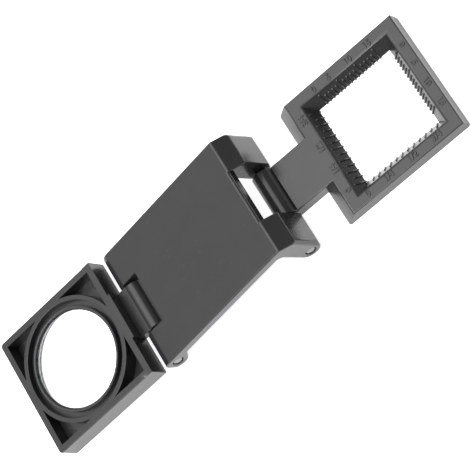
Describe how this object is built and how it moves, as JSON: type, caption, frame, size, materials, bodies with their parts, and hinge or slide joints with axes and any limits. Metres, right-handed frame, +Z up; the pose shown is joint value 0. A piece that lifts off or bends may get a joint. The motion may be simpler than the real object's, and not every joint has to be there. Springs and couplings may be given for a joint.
{
  "type": "folding pocket magnifier",
  "caption": "Folding pocket magnifier: a biconvex lens in a square holder, hinged by an arm to a base frame with a graduated square window.",
  "frame": {"origin": "centre of the bounding box at the table, with the magnifier lying opened out", "axes": "+X from the lens holder to the base frame, the longest way; +Y along both hinge pins; +Z up from the table"},
  "size_m": [0.1146, 0.0298, 0.013],
  "materials": {
    "black_plastic": "satin moulded black",
    "lens_glass": "polished clear",
    "pin_steel": "blackened"
  },
  "bodies": {
    "base": {"base_frame": "black_plastic"},
    "arm": {"arm": "black_plastic", "base_hinge_pin": "pin_steel", "lens_hinge_pin": "pin_steel"},
    "holder": {"lens_holder": "black_plastic", "lens": "lens_glass", "lens_retaining_ring": "black_plastic"}
  },
  "joints": [
    {"name": "base_hinge", "type": "hinge", "parent": "base", "child": "arm", "pos_m": [0.01482, 0, 0.00268], "axis": [0, 1, 0], "range_deg": [-168.24, 101.76]},
    {"name": "lens_hinge", "type": "hinge", "parent": "arm", "child": "holder", "pos_m": [-0.02338, 0, 0.0029], "axis": [0, 1, 0], "range_deg": [-186.81, 83.19]}
  ]
}
